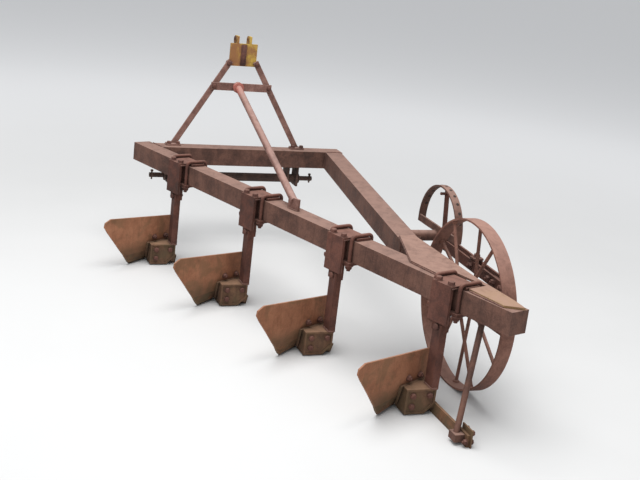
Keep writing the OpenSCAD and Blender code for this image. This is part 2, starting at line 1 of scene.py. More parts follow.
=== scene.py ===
"""Looks of a rusty four-furrow mounted moldboard plough, standing on a plain pale floor.

Metres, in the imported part's own frame: +X is the travel direction, +Y is left, +Z is up.
"""

import json
import math
import random

import bmesh
import bpy
from mathutils import Matrix, Vector


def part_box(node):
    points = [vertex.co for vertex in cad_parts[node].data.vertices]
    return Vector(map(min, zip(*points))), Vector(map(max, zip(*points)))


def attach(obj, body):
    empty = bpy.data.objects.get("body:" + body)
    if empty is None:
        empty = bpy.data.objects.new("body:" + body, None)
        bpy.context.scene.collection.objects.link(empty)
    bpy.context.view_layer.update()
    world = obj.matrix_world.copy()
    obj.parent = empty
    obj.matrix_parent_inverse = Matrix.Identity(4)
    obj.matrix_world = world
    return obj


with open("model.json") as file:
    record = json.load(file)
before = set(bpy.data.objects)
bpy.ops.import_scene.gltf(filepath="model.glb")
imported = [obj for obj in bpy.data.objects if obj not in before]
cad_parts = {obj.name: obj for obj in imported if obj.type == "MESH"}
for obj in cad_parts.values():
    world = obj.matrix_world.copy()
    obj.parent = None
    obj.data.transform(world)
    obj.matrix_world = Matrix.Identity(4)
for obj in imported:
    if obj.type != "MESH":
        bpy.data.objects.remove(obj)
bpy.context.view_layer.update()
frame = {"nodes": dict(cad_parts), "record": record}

# Lower hitch, measured from the origin below
HITCH_X = 0.440
HITCH_Y = -0.390
HITCH_Z = 0.385

# The beam point of the first body, on the ground, from which the places below are measured
SHAFT_LOW, SHAFT_HIGH = (Vector(corner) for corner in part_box("hitch_shaft"))
ORIGIN = (SHAFT_LOW + SHAFT_HIGH) / 2 - Vector((HITCH_X, HITCH_Y, HITCH_Z))

# Camera: place, heading, fall and lean of the photograph's view, and the lens that frames the plough
CAMERA_AT = ORIGIN + Vector((-5.986, 1.623, 2.039))
CAMERA_HEADING = -22.20
CAMERA_FALL = 16.45
CAMERA_LEAN = 6.80
CAMERA_LENS = 65.1

# Main beam: angle to travel (degrees), width, heights of its faces
BEAM_ANGLE = 18.5
BEAM_W = 0.100
BEAM_TOP = 0.570
BEAM_UNDER = 0.470

# Bodies: how many and how far apart along the beam; a share's point ahead of its leg
BODIES = 4
BODY_PITCH = 0.690
POINT_X = 0.240

# Legs: thickness, length along the row, middle from the furrow wall side, height of the foot
LEG_T = 0.032
LEG_L = 0.070
LEG_SET = 0.0225
LEG_FOOT = 0.118

# Saddles: outer face off the beam's middle, thickness of the cap
SADDLE_FACE = 0.096
CAP_T = 0.012

# Directions: of the part, and of the skewed main beam
UP = Vector((0, 0, 1))
ACROSS = Vector((0, 1, 0))
FORWARD = Vector((1, 0, 0))
REARWARD = Vector((-1, 0, 0))
AHEAD = Vector((math.cos(math.radians(BEAM_ANGLE)), math.sin(math.radians(BEAM_ANGLE)), 0))
LEFT = Vector((-AHEAD.y, AHEAD.x, 0))

# Threads of the bolts, and hexagon heads as across the flats and height
M13, M14, M16 = 0.013, 0.014, 0.016
HEAD_20 = (0.020, 0.009)
HEAD_22 = (0.022, 0.010)
HEAD_24 = (0.024, 0.012)
HEAD_26 = (0.026, 0.013)
HEAD_26_TALL = (0.026, 0.014)

# Weld beads' radii, and how far a bead's middle lies off the plate
BEAD_FINE, BEAD_PLAIN, BEAD, BEAD_WIDE = 0.003, 0.004, 0.0045, 0.005
BEAD_LIFT = 0.001

# Columns: height at the shin, lean back, angle to travel, row length, height at the wing, thickness (mm, degrees)
SHARE_ROWS = (
    (0.0, 0.0, 46.7, 361.0, 0.0, 3.0),
    (20.0, 31.3, 51.5, 354.0, 15.0, 16.0),
    (45.0, 64.8, 56.2, 349.0, 34.0, 13.0),
    (79.7, 98.0, 60.2, 352.0, 59.7, 11.0),
)
MOLD_ROWS = (
    (80.0, 98.0, 60.2, 352.0, 60.0, 11.0),
    (106.0, 110.0, 60.6, 385.0, 100.0, 10.0),
    (132.0, 118.0, 61.1, 415.0, 140.0, 9.0),
    (158.0, 123.5, 61.6, 446.0, 180.0, 8.0),
)


def at(x, y, z):
    return ORIGIN + Vector((x, y, z))


def by_beam(back, x, y, z):
    """A point in the frame of the main beam, at a distance behind the first body."""
    return ORIGIN + AHEAD * (x - back) + LEFT * y + UP * z


def by_body(i, x, y, z):
    """A point in the frame of a plough body: y = 0 is the furrow wall side, x = 0 the leg's centre."""
    leg_off = BEAM_W / 2 + LEG_T / 2
    foot = ORIGIN - AHEAD * (i * BODY_PITCH) + LEFT * leg_off
    return foot + Vector((x, y - LEG_SET, z))


def box_centre(node):
    lo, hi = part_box(node)
    return (Vector(lo) + Vector(hi)) / 2


def node_lo(node):
    return Vector(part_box(node)[0])


def node_hi(node):
    return Vector(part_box(node)[1])


# The yellowish patch near the tail and the red one at the stay's upper end: centre and reach
TAIL_STAIN = (by_beam((BODIES - 1) * BODY_PITCH, -0.235, -0.01, BEAM_TOP), 0.20)
STAY_STAIN = (at(HITCH_X - 0.030, HITCH_Y + 0.025, 0.925), 0.17)


# Finishes. Shine of dry rust and paint; scales of the blotches, patches, stain, flakes, grain and pits (per metre)
DULL_SHINE = 0.35
BLOTCHES, PATCHES, STAINS, FLAKES, GRAIN, PITS = 4.5, 19.0, 9.0, 75.0, 150.0, 420.0
# Runs down the sides: narrow across and long in height
RUNS = (70.0, 70.0, 5.0)
# Width of the worn edges, reach of the painted shade in recesses, and depths of the relief: patches, pits and flakes
WORN_EDGE = 0.004
PAINTED_SHADE_REACH = 0.03
PATCH_DEPTH, PIT_DEPTH, FLAKE_DEPTH = 0.006, 0.0012, -0.0015
# Shares of blotches, patches and grain in the rust's pattern, and where it is dark, middle, bright and middle again
BLOTCH_SHARE, PATCH_SHARE, GRAIN_SHARE = 0.42, 0.36, 0.22
RUST_STOPS = (0.36, 0.47, 0.58, 0.68)
# Shares of the dark runs, worn edges and dark flakes laid over it, and how dark the painted shade in recesses is
RUN_SHARE, EDGE_SHARE, FLAKE_SHARE = 0.35, 0.35, 0.45
PAINTED_SHADE_DARK = 0.45


class Graph:
    """A material's node tree, with short calls for the nodes that the finishes share."""

    def __init__(self, name):
        self.material = bpy.data.materials.new(name)
        self.material.use_nodes = True
        self.tree = self.material.node_tree
        self.tree.nodes.clear()
        self.coords = self.node("ShaderNodeTexCoord")
        self.place = self.coords.outputs["Object"]

    def node(self, kind, **values):
        made = self.tree.nodes.new(kind)
        for key, value in values.items():
            setattr(made, key, value)
        return made

    def link(self, source, target):
        self.tree.links.new(source, target)

    def feed(self, target, value):
        if isinstance(value, bpy.types.NodeSocket):
            self.link(value, target)
        else:
            target.default_value = value

    def stretched(self, scale):
        mapping = self.node("ShaderNodeMapping")
        mapping.inputs["Scale"].default_value = scale
        self.link(self.place, mapping.inputs["Vector"])
        return mapping.outputs["Vector"]

    def noise(self, scale, detail=5.0, rough=0.6, bend=0.0, place=None):
        made = self.node("ShaderNodeTexNoise")
        made.inputs["Scale"].default_value = scale
        made.inputs["Detail"].default_value = detail
        made.inputs["Roughness"].default_value = rough
        made.inputs["Distortion"].default_value = bend
        self.link(place or self.place, made.inputs["Vector"])
        return made.outputs["Fac"]

    def cells(self, scale):
        made = self.node("ShaderNodeTexVoronoi", feature="F1")
        made.inputs["Scale"].default_value = scale
        self.link(self.place, made.inputs["Vector"])
        return made.outputs["Distance"]

    def math(self, operation, a, b=0.0, c=0.0):
        made = self.node("ShaderNodeMath", operation=operation)
        for socket, value in zip(made.inputs, (a, b, c)):
            self.feed(socket, value)
        return made.outputs[0]

    def span(self, value, low, high, to_low=0.0, to_high=1.0):
        made = self.node("ShaderNodeMapRange", interpolation_type="SMOOTHSTEP")
        for key, number in (("From Min", low), ("From Max", high), ("To Min", to_low), ("To Max", to_high)):
            made.inputs[key].default_value = number
        self.link(value, made.inputs["Value"])
        return made.outputs["Result"]

    def ramp(self, value, stops):
        made = self.node("ShaderNodeValToRGB")
        keys = made.color_ramp.elements
        while len(keys) < len(stops):
            keys.new(0.5)
        for key, (place, colour) in zip(keys, stops):
            key.position = place
            key.color = (*colour, 1.0)
        self.link(value, made.inputs["Fac"])
        return made.outputs["Color"]

    def blend(self, amount, first, second, mode="MIX"):
        made = self.node("ShaderNodeMix", data_type="RGBA", blend_type=mode)
        self.feed(made.inputs["Factor"], amount)
        for socket, value in ((made.inputs["A"], first), (made.inputs["B"], second)):
            if isinstance(value, tuple):
                value = (*value, 1.0)
            self.feed(socket, value)
        return made.outputs["Result"]

    def up_facing(self):
        split = self.node("ShaderNodeSeparateXYZ")
        self.link(self.coords.outputs["Normal"], split.inputs[0])
        return split.outputs["Z"]

    def near(self, centre, reach):
        """One at a place, falling to nothing at its reach."""
        away = self.node("ShaderNodeVectorMath", operation="DISTANCE")
        self.link(self.place, away.inputs[0])
        away.inputs[1].default_value = centre
        return self.span(away.outputs["Value"], 0.25 * reach, reach, 1.0, 0.0)

    def below(self, height, fade):
        """One under a height, falling to nothing over the fade above it."""
        split = self.node("ShaderNodeSeparateXYZ")
        self.link(self.place, split.inputs[0])
        return self.span(split.outputs["Z"], height, height + fade, 1.0, 0.0)

    # Ambient occlusion, for painted shade in recesses
    def occlusion_shade(self, distance):
        made = self.node("ShaderNodeAmbientOcclusion", samples=6)
        made.inputs["Distance"].default_value = distance
        return made.outputs["AO"]

    def edges(self, radius):
        bevel = self.node("ShaderNodeBevel", samples=4)
        bevel.inputs["Radius"].default_value = radius
        face = self.node("ShaderNodeNewGeometry")
        dot = self.node("ShaderNodeVectorMath", operation="DOT_PRODUCT")
        self.link(bevel.outputs["Normal"], dot.inputs[0])
        self.link(face.outputs["Normal"], dot.inputs[1])
        return self.span(self.math("SUBTRACT", 1.0, dot.outputs["Value"]), 0.02, 0.22)

    def bump(self, height, strength, depth, base=None):
        made = self.node("ShaderNodeBump")
        made.inputs["Strength"].default_value = strength
        made.inputs["Distance"].default_value = depth
        self.link(height, made.inputs["Height"])
        if base is not None:
            self.link(base, made.inputs["Normal"])
        return made.outputs["Normal"]

    def finish(self, colour, rough, normal):
        shader = self.node("ShaderNodeBsdfPrincipled")
        self.feed(shader.inputs["Base Color"], colour)
        self.feed(shader.inputs["Roughness"], rough)
        self.link(normal, shader.inputs["Normal"])
        shader.inputs["Specular IOR Level"].default_value = DULL_SHINE
        out = self.node("ShaderNodeOutputMaterial")
        self.link(shader.outputs[0], out.inputs["Surface"])
        return self.material


def rusty(name, dark, middle, bright, top_dust_and_light, top_dust_and_light_share, stain=None, stain_share=0.0, calm=1.0, near=None,
          darker_foot=None):
    """Old rusted steel: blotches, fine scale, runs down the sides, dust and painted light on top, worn edges and
    painted shade in recesses.

    stain is a second colour, kept near a place if near gives its centre and reach; calm below 1 weakens the blotches.
    The last argument makes a piece darker towards its bottom: its height, the fade above it, its colour and its share.
    """
    g = Graph(name)
    broad = g.noise(BLOTCHES, 5, 0.62, 0.3)
    patchy = g.noise(PATCHES, 6, 0.66, 0.5)
    fine = g.noise(GRAIN, 4, 0.7)
    runs = g.noise(1.0, 4, 0.6, 0.2, g.stretched(RUNS))
    mixed = g.math("ADD", g.math("MULTIPLY", broad, BLOTCH_SHARE), g.math("MULTIPLY", patchy, PATCH_SHARE))
    mixed = g.math("ADD", mixed, g.math("MULTIPLY", fine, GRAIN_SHARE))
    deep = tuple(m + calm * (d - m) for d, m in zip(dark, middle))
    colour = g.ramp(mixed, list(zip(RUST_STOPS, (deep, middle, bright, middle))))
    side_runs = g.math("MULTIPLY", g.span(runs, 0.52, 0.72), RUN_SHARE)
    colour = g.blend(side_runs, colour, dark)
    if stain is not None:
        if near is None:
            shade = g.span(g.noise(STAINS, 5, 0.6, 0.6), 0.60 - 0.25 * stain_share, 0.70 - 0.15 * stain_share)
        else:
            shade = g.math("MULTIPLY", g.near(*near), g.span(patchy, 0.30, 0.55, 0.35, 1.0))
        colour = g.blend(g.math("MULTIPLY", shade, stain_share), colour, stain)
    # Darker towards the bottom
    if darker_foot is not None:
        height, fade, foot_colour, foot_share = darker_foot
        low = g.math("MULTIPLY", g.below(height, fade), g.span(patchy, 0.25, 0.60, 0.55, 1.0))
        colour = g.blend(g.math("MULTIPLY", low, foot_share), colour, foot_colour)
    # Dust and painted light: up-facing faces are made paler, as where the sky lights them
    top = g.span(g.up_facing(), 0.35, 0.95)
    top = g.math("MULTIPLY", top, g.span(patchy, 0.25, 0.62, 0.45, 1.0))
    colour = g.blend(g.math("MULTIPLY", top, top_dust_and_light_share), colour, top_dust_and_light)
    colour = g.blend(g.math("MULTIPLY", g.edges(WORN_EDGE), EDGE_SHARE), colour, bright)
    flakes = g.span(g.cells(FLAKES), 0.05, 0.16, 1.0, 0.0)
    flakes = g.math("MULTIPLY", flakes, g.span(patchy, 0.5, 0.62))
    colour = g.blend(g.math("MULTIPLY", flakes, FLAKE_SHARE), colour, dark)
    # Painted shade: ambient occlusion darkens recesses, corners and gaps between parts
    painted_shade = g.span(g.occlusion_shade(PAINTED_SHADE_REACH), 0.35, 0.9, 0.5, 0.0)
    colour = g.blend(painted_shade, colour, tuple(PAINTED_SHADE_DARK * c for c in dark))
    rough = g.span(patchy, 0.3, 0.7, 0.72, 0.93)
    coarse = g.bump(patchy, 0.35, PATCH_DEPTH)
    scale = g.bump(g.noise(PITS, 4, 0.7), 0.30, PIT_DEPTH, coarse)
    relief = g.bump(flakes, 0.25, FLAKE_DEPTH, scale)
    return g.finish(colour, rough, relief)


# Columns: dark, middle, bright and top colours (dust and painted light on up-facing faces), the top colour's share, and
# what else rusty() takes
FINISH_ROWS = {
    "beam_rust": ((0.036, 0.017, 0.012), (0.090, 0.042, 0.030), (0.152, 0.074, 0.053), (0.258, 0.157, 0.125), 0.85, {}),
    "bracket_rust": ((0.028, 0.012, 0.008), (0.078, 0.029, 0.020), (0.135, 0.053, 0.037), (0.210, 0.108, 0.082), 0.7,
                     {}),
    "mast_rust": ((0.072, 0.034, 0.026), (0.170, 0.084, 0.066), (0.265, 0.146, 0.118), (0.360, 0.235, 0.203), 0.75, {}),
    "stay_rust": ((0.072, 0.034, 0.026), (0.170, 0.084, 0.066), (0.265, 0.146, 0.118), (0.360, 0.235, 0.203), 0.6,
                  {"stain": (0.420, 0.130, 0.100), "stain_share": 0.8, "near": STAY_STAIN}),
    "ochre_paint": ((0.150, 0.070, 0.020), (0.380, 0.240, 0.045), (0.520, 0.350, 0.070), (0.480, 0.360, 0.140), 0.5,
                    {"stain": (0.220, 0.090, 0.040), "stain_share": 0.9}),
    "dark_steel": ((0.018, 0.011, 0.009), (0.046, 0.026, 0.020), (0.090, 0.050, 0.037), (0.190, 0.125, 0.100), 0.5, {}),
    "plate_rust": ((0.105, 0.042, 0.020), (0.245, 0.100, 0.050), (0.330, 0.145, 0.078), (0.380, 0.200, 0.130), 0.5,
                   {"stain": (0.130, 0.076, 0.036), "stain_share": 0.5, "calm": 0.6,
                    "darker_foot": (0.070, 0.085, (0.090, 0.056, 0.028), 0.7)}),
    "share_rust": ((0.050, 0.026, 0.014), (0.125, 0.060, 0.030), (0.220, 0.105, 0.052), (0.280, 0.165, 0.100), 0.5,
                   {"stain": (0.085, 0.062, 0.030), "stain_share": 0.7}),
    "frog_rust": ((0.036, 0.020, 0.012), (0.096, 0.050, 0.028), (0.165, 0.088, 0.050), (0.270, 0.160, 0.098), 0.75,
                  {"stain": (0.080, 0.056, 0.027), "stain_share": 0.6}),
    "wheel_rust": ((0.060, 0.026, 0.018), (0.152, 0.068, 0.048), (0.245, 0.118, 0.086), (0.330, 0.192, 0.152), 0.7, {}),
    "tail_rust": ((0.060, 0.028, 0.020), (0.146, 0.073, 0.053), (0.220, 0.117, 0.085), (0.300, 0.184, 0.144), 0.8,
                  {"stain": (0.340, 0.222, 0.085), "stain_share": 0.8, "near": TAIL_STAIN}),
    "bolt_rust": ((0.030, 0.013, 0.010), (0.080, 0.032, 0.024), (0.145, 0.061, 0.044), (0.225, 0.125, 0.096), 0.5, {}),
    "weld_rust": ((0.042, 0.019, 0.015), (0.102, 0.047, 0.036), (0.168, 0.080, 0.060), (0.270, 0.160, 0.128), 0.6, {}),
    "pin_steel": ((0.030, 0.019, 0.015), (0.080, 0.048, 0.037), (0.150, 0.094, 0.071), (0.230, 0.165, 0.135), 0.4, {}),
    # Near black: painted shade for the quadrant's holes
    "mark_dark": ((0.012, 0.008, 0.007), (0.024, 0.015, 0.012), (0.040, 0.024, 0.018), (0.050, 0.032, 0.026), 0.3, {}),
}
FINISHES = {name: rusty(name, *row[:5], **row[5]) for name, row in FINISH_ROWS.items()}
SLOT_OF = {row["node"]: row["material_slot"] for row in frame["record"]["subparts"]}

# Nodes whose finish is a kind of their slot's own
FINISH_OF = {"tail_plate": "tail_rust", "mast_stay": "stay_rust"}


def dress_frame():
    for name, obj in frame["nodes"].items():
        obj.data.materials.clear()
        obj.data.materials.append(FINISHES[FINISH_OF.get(name, SLOT_OF[name])])


dress_frame()


# Shapes: each piece is gathered from lofts and turned rings
SHARP_ANGLE = 38.0
# Washer under a head or nut: thickness, and rows of share of the width across the flats and height
WASHER_T = 0.003
WASHER_ROWS = ((0.60, 0), (0.64, 0.0006), (0.64, 0.0024), (0.60, WASHER_T))
# Head or nut: where it starts inside its washer, and rows of share of its radius and of its height
HEAD_START = 0.002
HEAD_ROWS = ((1.0, 0.82), (0.93, 0.94), (0.84, 1.0))
# Nut, as shares of its thread: width across the flats, height, and thread beyond it
NUT_FLATS, NUT_HEIGHT, NUT_BEYOND = 1.6, 0.8, 0.45
# Thread: its finest pitch, and threads in a length of its own size
FINEST_PITCH = 0.0022
PITCHES = 8
# Chamfer of a rod's ends, as a share of its radius
ROD_CUT = 0.15
# Weld beads: length of a ripple, range of the unevenness, wave from ripple to ripple, size of the ends, drift
RIPPLE = 0.006
BEAD_UNEVEN = (0.78, 1.2)
BEAD_WAVE = (1.08, 0.9)
BEAD_END = 0.45
BEAD_DRIFT = 0.0008


def side_axes(axis):
    """Two unit directions square to an axis and to each other."""
    axis = axis.normalized()
    first = axis.cross(UP if abs(axis.z) < 0.9 else FORWARD).normalized()
    return first, axis.cross(first)


class Shape:
    """Points and faces of one piece."""

    def __init__(self, seed=1):
        self.points = []
        self.faces = []
        self.chance = random.Random(seed)

    def loft(self, rings, closed=False):
        """Faces between rings of points, with end caps unless the last ring meets the first."""
        base, n, count = len(self.points), len(rings[0]), len(rings)
        for ring in rings:
            self.points.extend(ring)
        for j in range(count if closed else count - 1):
            a, b = base + j * n, base + (j + 1) % count * n
            for k in range(n):
                m = (k + 1) % n
                self.faces.append((a + k, a + m, b + m, b + k))
        if not closed:
            self.faces.append(tuple(base + k for k in reversed(range(n))))
            self.faces.append(tuple(base + (count - 1) * n + k for k in range(n)))

    def turned(self, place, axis, rows, sides=20, turn=0.0):
        """Rings round an axis; each row is a radius and a height."""
        axis = axis.normalized()
        u, v = side_axes(axis)
        self.loft([[place + axis * h + r * (math.cos(a) * u + math.sin(a) * v)
                    for a in (turn + 2 * math.pi * k / sides for k in range(sides))] for r, h in rows])

    def washer(self, place, axis, inner, outer, height, sides=24):
        """A flat ring with square edges, seated at a place."""
        axis = axis.normalized()
        u, v = side_axes(axis)
        rows = ((inner, 0), (outer, 0), (outer, height), (inner, height))
        self.loft([[place + axis * h + r * (math.cos(a) * u + math.sin(a) * v) for r, h in rows]
                   for a in (2 * math.pi * k / sides for k in range(sides))], closed=True)

    def hexagon(self, place, axis, across, height):
        """A bolt head or nut with rounded corners, on a washer."""
        turn = self.chance.uniform(0, math.pi / 3)
        r = across / math.sqrt(3)
        self.turned(place, axis, [(share * across, h) for share, h in WASHER_ROWS])
        head = [(share * r, WASHER_T + rise * height) for share, rise in HEAD_ROWS]
        self.turned(place, axis, [(r, HEAD_START)] + head, 6, turn)

    def nut(self, place, axis, size):
        """A nut on a washer with the threaded end of its bolt."""
        self.hexagon(place, axis, NUT_FLATS * size, NUT_HEIGHT * size)
        self.thread(place, axis, size, WASHER_T + NUT_HEIGHT * size + NUT_BEYOND * size)

    def thread(self, place, axis, size, length):
        """The threaded end of a bolt: a crest and a root for each pitch, and a narrower tip."""
        pitch = max(FINEST_PITCH, size / PITCHES)
        rows = [(0.5 * size, 0)]
        h = 0.0
        while h + pitch < length:
            rows += [(0.5 * size, h + 0.35 * pitch), (0.44 * size, h + 0.8 * pitch)]
            h += pitch
        rows += [(0.42 * size, length)]
        self.turned(place, axis, rows, 12)

    def rod(self, start, end, radius, sides=14):
        """A round bar with chamfered ends."""
        cut, length = ROD_CUT * radius, (end - start).length
        rows = ((radius - cut, 0), (radius, cut), (radius, length - cut), (radius - cut, length))
        self.turned(start, end - start, rows, sides)

    def block(self, centre, x_axis, y_axis, size, cut=0.002):
        """A box with chamfered edges."""
        x_axis, y_axis = x_axis.normalized(), y_axis.normalized()
        z_axis = x_axis.cross(y_axis)
        hx, hy, hz = (0.5 * s for s in size)
        rings = []
        for c, z in ((cut, -hz), (0, cut - hz), (0, hz - cut), (cut, hz)):
            ring = []
            for sx, sy, first in ((1, 1, 0), (-1, 1, 1), (-1, -1, 0), (1, -1, 1)):
                pair = [(hx - c, hy - c - cut), (hx - c - cut, hy - c)]
                for px, py in (pair if first == 0 else pair[::-1]):
                    ring.append(centre + x_axis * (sx * px) + y_axis * (sy * py) + z_axis * z)
            rings.append(ring)
        self.loft(rings)

    def ring(self, centre, axis, radius, wire, sides):
        """A round wire bent to a ring."""
        axis = axis.normalized()
        u, v = side_axes(axis)
        rings = []
        for k in range(sides):
            a = 2 * math.pi * k / sides
            out = math.cos(a) * u + math.sin(a) * v
            rings.append([centre + out * (radius + wire * math.cos(b)) + axis * (wire * math.sin(b))
                          for b in (2 * math.pi * m / 8 for m in range(8))])
        self.loft(rings, closed=True)

    def weld(self, path, radius=BEAD):
        """A hand-laid weld bead along a path of straight runs: rippled, uneven and thin at its ends."""
        for start, end in zip(path, path[1:]):
            run = end - start
            count = max(2, int(run.length / RIPPLE))
            u, v = side_axes(run)
            rings = []
            for k in range(count + 1):
                grow = radius * self.chance.uniform(*BEAD_UNEVEN) * BEAD_WAVE[k % 2]
                grow *= BEAD_END if k in (0, count) else 1.0
                over, aside = (self.chance.uniform(-BEAD_DRIFT, BEAD_DRIFT) for _ in range(2))
                drift = u * over + v * aside
                rings.append([start + run * (k / count) + drift + grow * (math.cos(b) * u + math.sin(b) * v)
                              for b in (2 * math.pi * m / 7 for m in range(7))])
            self.loft(rings)

    def round_weld(self, centre, axis, radius, bead):
        """A weld bead all round a circle."""
        u, v = side_axes(axis)
        runs = 16
        points = [centre + radius * (math.cos(a) * u + math.sin(a) * v)
                  for a in (2 * math.pi * k / runs for k in range(runs + 1))]
        self.weld(points, bead)

    def make(self, name, finish, body="plough"):
        mesh = bpy.data.meshes.new(name)
        mesh.from_pydata([tuple(p) for p in self.points], [], self.faces)
        work = bmesh.new()
        work.from_mesh(mesh)
        bmesh.ops.recalc_face_normals(work, faces=work.faces)
        work.to_mesh(mesh)
        work.free()
        mesh.shade_smooth()
        mesh.set_sharp_from_angle(angle=math.radians(SHARP_ANGLE))
        mesh.materials.append(FINISHES[finish])
        piece = bpy.data.objects.new(name, mesh)
        bpy.context.scene.collection.objects.link(piece)
        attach(piece, body)
        return piece


# Edge rounding: the angle from which an edge is rounded, and the width above which it takes a third segment
ROUND_ANGLE = 50
WIDE_ROUND = 0.004
# Width of the rounding, by the start of a CAD node's name
ROUNDED = (("main_beam", 0.006), ("front_cross", 0.006), ("side_beam", 0.006), ("rear_bar", 0.006), ("leg", 0.003),
           ("clamp", 0.002), ("mast", 0.0015), ("tail", 0.0015), ("hitch", 0.002), ("landside", 0.002),
           ("frog", 0.002), ("top_link", 0.002), ("depth", 0.0015), ("wheel_arm", 0.0015), ("wheel_rim", 0.0015),
           ("wheel_hub", 0.002), ("pivot", 0.0015), ("u_bolts", 0.001), ("moldboard", 0.001), ("share", 0.001),
           ("heel", 0.002))


def round_edges():
    for name, obj in frame["nodes"].items():
        for start, width in ROUNDED:
            if name.startswith(start):
                soft = obj.modifiers.new("soft_edges", "BEVEL")
                soft.width = width
                soft.segments = 3 if width > WIDE_ROUND else 2
                soft.limit_method = "ANGLE"
                soft.angle_limit = math.radians(ROUND_ANGLE)
                soft.harden_normals = False
                break


round_edges()


# Plough bodies
def face_point(rows, i, height, u, off):
    """A point on a working face and its normal; off is the distance behind the face (mm)."""
    k = max(n for n in range(len(rows) - 1) if rows[n][0] <= height)
    share = (height - rows[k][0]) / (rows[k + 1][0] - rows[k][0])

    def point(s, w, o):
        z0, lean, angle, length, z1, _ = (a + s * (b - a) for a, b in zip(rows[k], rows[k + 1]))
        c, n = math.cos(math.radians(angle)), math.sin(math.radians(angle))
        skip = o * c / n
        run = skip + w * (length - skip)
        return Vector((POINT_X * 1000 - lean / n - o * n - run * c, -o * c + run * n, z0 + w * (z1 - z0))) / 1000

    here = point(share, u, off)
    step = 0.01
    normal = (point(share, u + step, off) - here).cross(point(share + step, u, off) - here).normalized()
    if normal.x < 0:
        normal = -normal
    return by_body(i, *here), normal


# Columns: rows, height, share of the row's length, depth of the nut behind the face (mm)
PLATE_BOLTS = (
    (SHARE_ROWS, 60.0, 0.15, 25.7),
    (SHARE_ROWS, 60.0, 0.30, 25.7),
    (MOLD_ROWS, 92.0, 0.15, 22.6),
    (MOLD_ROWS, 92.0, 0.30, 22.6),
    (MOLD_ROWS, 142.0, 0.14, 8.5),
    (MOLD_ROWS, 142.0, 0.33, 8.5),
)
# A flush plough bolt's head (radius, height), how far it is sunk, and its worn square
PLATE_HEAD = ((0.0105, 0), (0.0105, 0.0022), (0.0095, 0.0028))
PLATE_HEAD_SUNK = 0.002
PLATE_SQUARE = (0.009, 0.009, 0.0026)
PLATE_SQUARE_RISE = 0.0009
PLATE_SQUARE_CUT = 0.0006
# Bolts in the recess of a frog's rear wall: place from the furrow wall side and height
FROG_BOLTS = ((0.118, 0.088), (0.118, 0.040), (0.040, 0.088))
FROG_RECESS = 0.004


def make_body_bolts(i):
    nuts, heads = Shape(10 + i), Shape(20 + i)
    for rows, height, u, depth in PLATE_BOLTS:
        back, normal = face_point(rows, i, height, u, depth)
        nuts.nut(back, -normal, M14)
        front, normal = face_point(rows, i, height, u, 0.0)
        heads.turned(front - normal * PLATE_HEAD_SUNK, normal, PLATE_HEAD, 18)
        heads.block(front + normal * PLATE_SQUARE_RISE, *side_axes(normal), PLATE_SQUARE, PLATE_SQUARE_CUT)
    for y, z in FROG_BOLTS:
        nuts.hexagon(by_body(i, FROG_RECESS - LEG_L / 2, y, z), REARWARD, *HEAD_22)
    nuts.make(f"plate_nuts_{i + 1}", "bolt_rust")
    heads.make(f"plate_heads_{i + 1}", "share_rust")


# Saddle: half its length, and the ends of the weld at its rear edges, below the beam
SADDLE_HALF = 0.056
SADDLE_WELD = (0.015, 0.058)
SADDLE_WELD_BACK = 0.012
# Upright bolts through a saddle's cap: place along the beam and off its middle
CAP_BOLT_X = 0.036
CAP_BOLT_Y = 0.078
LEG_BOLT_Z = 0.389
# U-bolt legs: place along the beam and off its middle
UBOLT_X = 0.073
UBOLT_Y = 0.0593
# Columns: depth below the beam, bore radius, outer radius, height
UBOLT_WASHERS = ((0.0168, 0.0102, 0.0215, 0.0028), (0.0322, 0.0084, 0.0140, 0.0018))


def make_leg_fittings(i):
    back = i * BODY_PITCH
    bolts, welds = Shape(30 + i), Shape(40 + i)
    for x in (-CAP_BOLT_X, CAP_BOLT_X):
        bolts.hexagon(by_beam(back, x, CAP_BOLT_Y, BEAM_TOP + CAP_T), UP, *HEAD_26_TALL)
    bolts.hexagon(by_beam(back, 0.0, BEAM_W / 2 + LEG_T, LEG_BOLT_Z), LEFT, *HEAD_26)
    bolts.nut(by_beam(back, 0.0, BEAM_W / 2, LEG_BOLT_Z), -LEFT, M16)
    for x in (-UBOLT_X, UBOLT_X):
        for y in (-UBOLT_Y, UBOLT_Y):
            for down, inner, outer, height in UBOLT_WASHERS:
                bolts.washer(by_beam(back, x, y, BEAM_UNDER - down), UP, inner, outer, height)
    bolts.make(f"leg_bolts_{i + 1}", "bolt_rust")
    half = LEG_L / 2
    low, high = LEG_SET - LEG_T / 2, LEG_SET + LEG_T / 2
    z = LEG_FOOT + BEAD_LIFT
    welds.weld([by_body(i, half, high, z), by_body(i, -half, high, z), by_body(i, -half, low, z)], BEAD_WIDE)
    for side in (-1, 1):
        x = side * (SADDLE_HALF - BEAD_LIFT)
        welds.weld([by_beam(back, x, BEAM_W / 2, BEAM_TOP + BEAD_LIFT),
                    by_beam(back, x, SADDLE_FACE - 2 * BEAD_LIFT, BEAM_TOP + BEAD_LIFT)], BEAD_FINE)
        welds.weld([by_beam(back, side * SADDLE_HALF, SADDLE_FACE - SADDLE_WELD_BACK, BEAM_UNDER - down)
                    for down in SADDLE_WELD], BEAD_FINE)
    welds.make(f"leg_welds_{i + 1}", "weld_rust")


# Landside bolts: place ahead of the leg's centre and height
WALL_BOLTS = ((0.120, 0.024), (0.060, 0.030))
WALL_HEAD = ((0.009, 0), (0.009, 0.0014), (0.008, 0.0018))
WALL_HEAD_SUNK = 0.001
# From a head to its nut on the frog's inside
WALL_NUT_STEP = Vector((-0.03, 0.0293, 0.045))
# Heel plate bolts of the last body: place ahead of the leg's centre and height
HEEL_BOLTS = ((-0.335, 0.022), (-0.290, 0.022), (-0.335, 0.060), (-0.290, 0.060))
HEEL_FACE = -0.006
HEEL_BACK = 0.012


